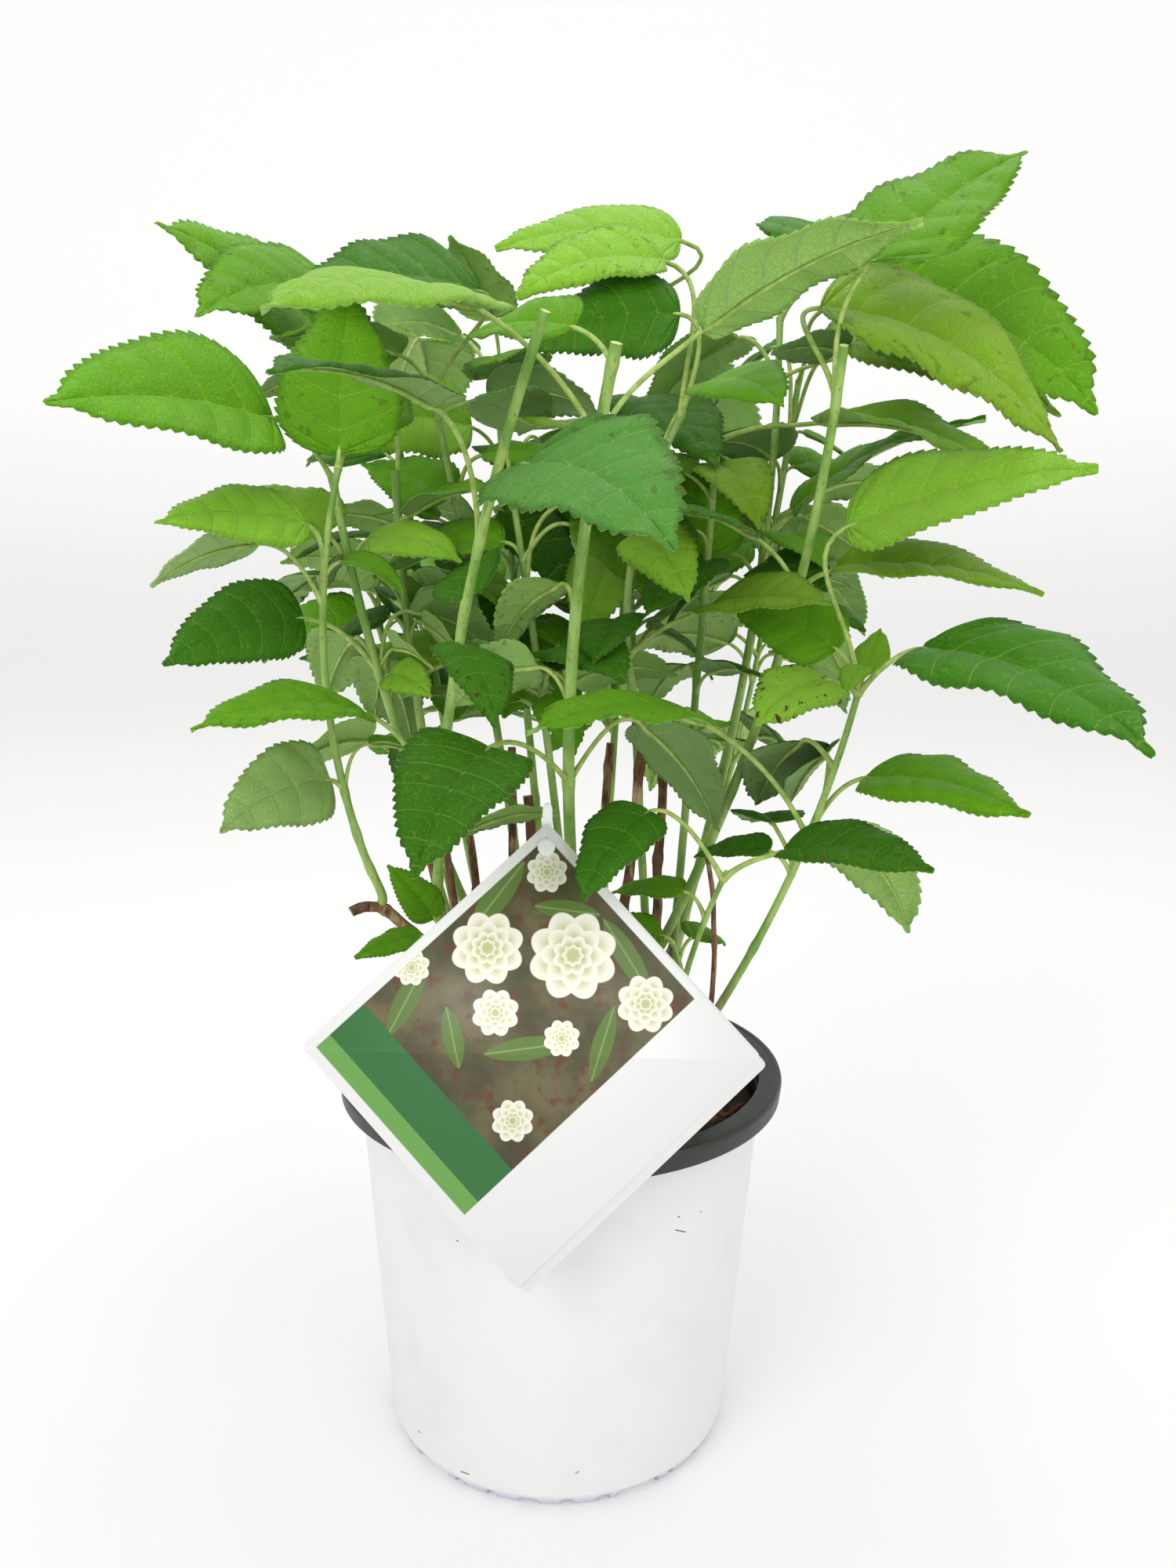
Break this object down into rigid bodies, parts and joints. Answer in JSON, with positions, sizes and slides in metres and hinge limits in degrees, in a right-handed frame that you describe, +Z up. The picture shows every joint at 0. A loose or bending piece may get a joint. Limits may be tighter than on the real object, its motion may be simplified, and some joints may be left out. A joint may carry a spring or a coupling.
{
  "type": "potted hydrangea shrub",
  "caption": "Young leafy hydrangea shrub with cut old wood and green stems, in a round nursery pot with a dark rim and a plant card on a stake.",
  "frame": {"origin": "middle of the pot's flat underside, on the surface the pot stands on", "axes": "+Z up the pot's axis, +X to the right seen from the card's side, +Y from the card's side to the back"},
  "size_m": [0.3872, 0.3765, 0.5579],
  "materials": {
    "pot_white": "satin",
    "rim_charcoal": "satin",
    "bark_mix": "rough, moist",
    "old_bark": "rough bark",
    "green_stem": "smooth, living",
    "leaf_green": "soft satin",
    "card_white": "smooth",
    "stake_white": "smooth"
  },
  "bodies": {
    "root": {"pot": "pot_white", "pot_rim": "rim_charcoal", "soil": "bark_mix", "tag_card": "card_white", "tag_stake": "stake_white", "old_wood_arm": "old_bark", "old_wood_1": "old_bark", "old_wood_2": "old_bark", "old_wood_3": "old_bark", "old_wood_4": "old_bark", "old_wood_5": "old_bark", "old_wood_6": "old_bark", "old_wood_7": "old_bark", "old_wood_8": "old_bark", "old_wood_9": "old_bark", "stem_1": "green_stem", "stem_2": "green_stem", "stem_3": "green_stem", "stem_4": "green_stem", "stem_5": "green_stem", "stem_6": "green_stem", "stem_7": "green_stem", "stem_8": "green_stem", "stem_9": "green_stem", "stem_10": "green_stem", "stem_11": "green_stem", "stem_12": "green_stem", "stem_13": "green_stem", "stem_14": "green_stem", "stem_15": "green_stem", "stem_16": "green_stem", "stem_17": "green_stem", "stem_18": "green_stem", "stem_19": "green_stem", "stem_20": "green_stem", "stem_21": "green_stem", "stem_22": "green_stem", "leaves_1": "leaf_green", "leaves_2": "leaf_green", "leaves_3": "leaf_green", "leaves_4": "leaf_green", "leaves_5": "leaf_green", "leaves_6": "leaf_green", "leaves_7": "leaf_green", "leaves_8": "leaf_green", "leaves_9": "leaf_green", "leaves_10": "leaf_green", "leaves_11": "leaf_green", "leaves_12": "leaf_green", "leaves_13": "leaf_green", "leaves_14": "leaf_green", "leaves_15": "leaf_green", "leaves_16": "leaf_green", "leaves_17": "leaf_green", "leaves_18": "leaf_green", "leaves_19": "leaf_green", "leaves_20": "leaf_green", "leaves_21": "leaf_green", "leaves_22": "leaf_green"}
  },
  "joints": []
}
